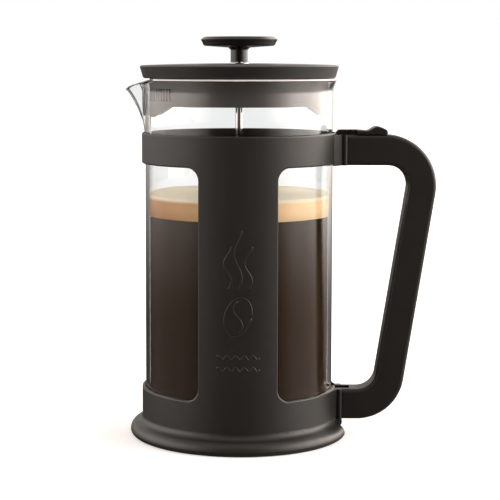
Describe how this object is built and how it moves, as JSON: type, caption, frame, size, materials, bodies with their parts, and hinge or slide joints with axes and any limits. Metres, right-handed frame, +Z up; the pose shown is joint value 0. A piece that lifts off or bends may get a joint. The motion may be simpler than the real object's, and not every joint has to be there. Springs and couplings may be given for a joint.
{
  "type": "french press",
  "caption": "Glass-beaker French press in a black moulded cage with a slanted handle, a cam lock lever, a domed lid and a steel plunger pressed down.",
  "frame": {"origin": "on the beaker's axis, in the plane that the foot ring rests on", "axes": "+Z up along the plunger, +X towards the handle, -X towards the spout"},
  "size_m": [0.1638, 0.1156, 0.2113],
  "materials": {
    "cage_plastic": "satin moulded black polypropylene",
    "lever_plastic": "satin moulded black",
    "lid_plastic": "satin moulded black",
    "knob_plastic": "glossy black",
    "borosilicate_glass": "clear, fire polished",
    "silicone": "matt",
    "steel": "satin stainless",
    "polished_steel": "polished stainless",
    "steel_mesh": "woven stainless gauze",
    "brass": "turned"
  },
  "bodies": {
    "frame": {"cage": "cage_plastic", "beaker_cushion": "silicone", "handle": "cage_plastic", "upper_thread_insert": "brass", "lower_thread_insert": "brass", "upper_handle_screw": "steel", "lower_handle_screw": "steel", "lever_pin": "steel"},
    "lever": {"lock_lever": "lever_plastic"},
    "beaker": {"beaker": "borosilicate_glass"},
    "lid_guide": {"lid_grommet": "polished_steel"},
    "lid": {"lid": "lid_plastic"},
    "plunger": {"knob": "knob_plastic", "knob_thread_insert": "brass", "plunger_rod": "polished_steel", "rod_collar": "steel", "spiral_plate": "steel", "edge_spring": "steel", "filter_mesh": "steel_mesh", "cross_plate": "steel", "hub_nut": "steel"}
  },
  "joints": [
    {"name": "beaker_lift", "type": "slide", "parent": "frame", "child": "beaker", "axis": [0, 0, 1], "range_m": [0, 0.17]},
    {"name": "lid_lift", "type": "slide", "parent": "beaker", "child": "lid_guide", "axis": [0, 0, 1], "range_m": [0, 0.19]},
    {"name": "lid_turn", "type": "hinge", "parent": "lid_guide", "child": "lid", "pos_m": [0, 0, 0.1896], "axis": [0, 0, 1], "continuous": true},
    {"name": "plunger_slide", "type": "slide", "parent": "lid_guide", "child": "plunger", "axis": [0, 0, 1], "range_m": [0, 0.152]},
    {"name": "lever_flip", "type": "hinge", "parent": "frame", "child": "lever", "pos_m": [0.0565, 0, 0.1573], "axis": [0, -1, 0], "range_deg": [0, 80]}
  ]
}
